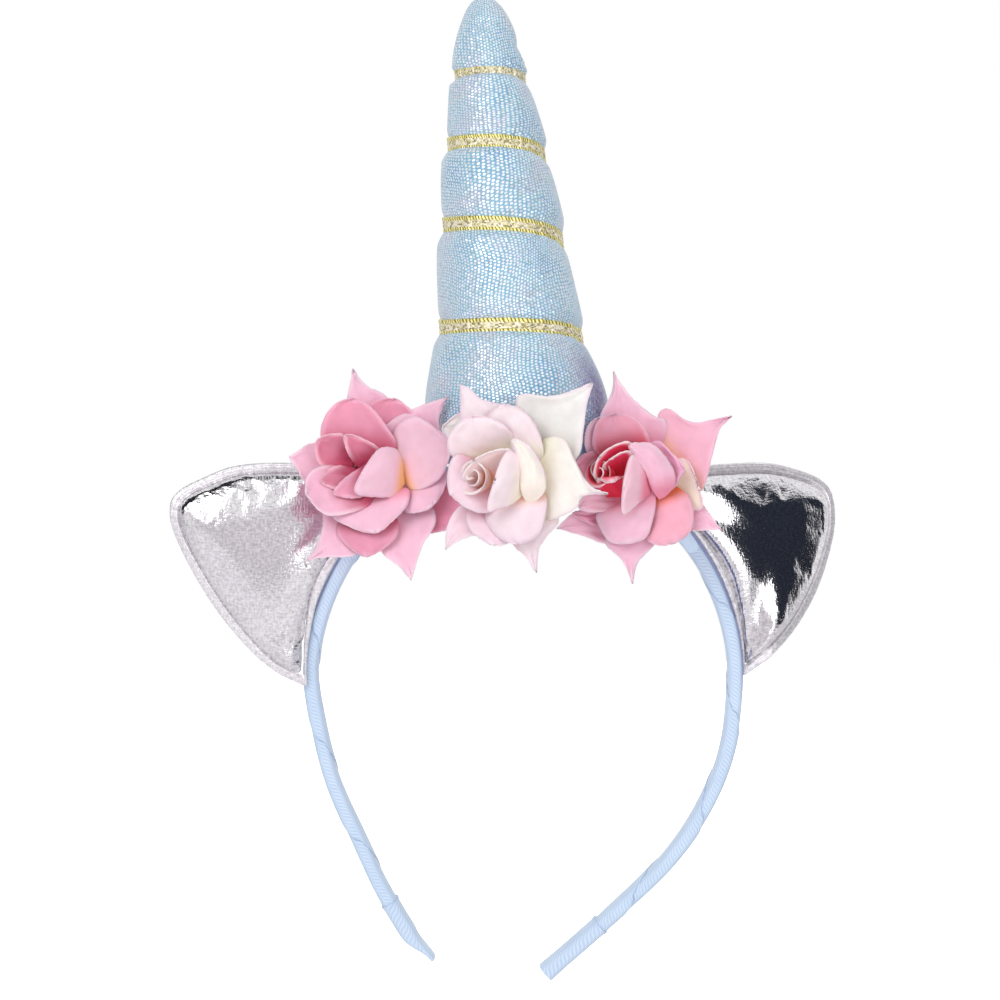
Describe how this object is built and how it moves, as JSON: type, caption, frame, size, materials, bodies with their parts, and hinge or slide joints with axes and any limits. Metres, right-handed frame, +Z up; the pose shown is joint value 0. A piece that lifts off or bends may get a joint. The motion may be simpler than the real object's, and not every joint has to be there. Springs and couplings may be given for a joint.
{
  "type": "unicorn horn headband",
  "caption": "Slim ribbon-wrapped hoop headband carrying a stuffed glitter horn wound with gold ribbon, padded silver ears and a row of fabric roses.",
  "frame": {"origin": "middle of the crown of the band's inner face, where the top of a head meets it", "axes": "+X to the wearer's left, which is the right of the picture; +Y from the front of the head to its back; +Z up along the wearer's head"},
  "size_m": [0.1996, 0.0904, 0.2909],
  "materials": {
    "band_ribbon": "pale blue ribbed grosgrain ribbon",
    "horn_fabric": "pale blue knit printed with rows of iridescent foil dots",
    "gold_ribbon": "gold metallic woven ribbon",
    "silver_lame": "silver foil on a fine weave, mirror-like",
    "pink_petals": "matte pink petal cloth",
    "cream_petals": "matte blush and cream petal cloth",
    "deep_pink_petals": "matte deep pink petal cloth"
  },
  "bodies": {
    "root": {"band": "band_ribbon", "end_wrap_left": "band_ribbon", "end_wrap_right": "band_ribbon", "horn": "horn_fabric", "horn_ribbon": "gold_ribbon", "ear_left": "silver_lame", "ear_right": "silver_lame", "rose_left_calyx": "pink_petals", "rose_left_outer_petals": "pink_petals", "rose_left_middle_petals": "pink_petals", "rose_left_inner_petals": "pink_petals", "rose_left_bud": "pink_petals", "rose_middle_calyx": "cream_petals", "rose_middle_outer_petals": "cream_petals", "rose_middle_middle_petals": "cream_petals", "rose_middle_inner_petals": "cream_petals", "rose_middle_bud": "cream_petals", "rose_right_calyx": "deep_pink_petals", "rose_right_outer_petals": "deep_pink_petals", "rose_right_middle_petals": "deep_pink_petals", "rose_right_inner_petals": "deep_pink_petals", "rose_right_bud": "deep_pink_petals"}
  },
  "joints": []
}
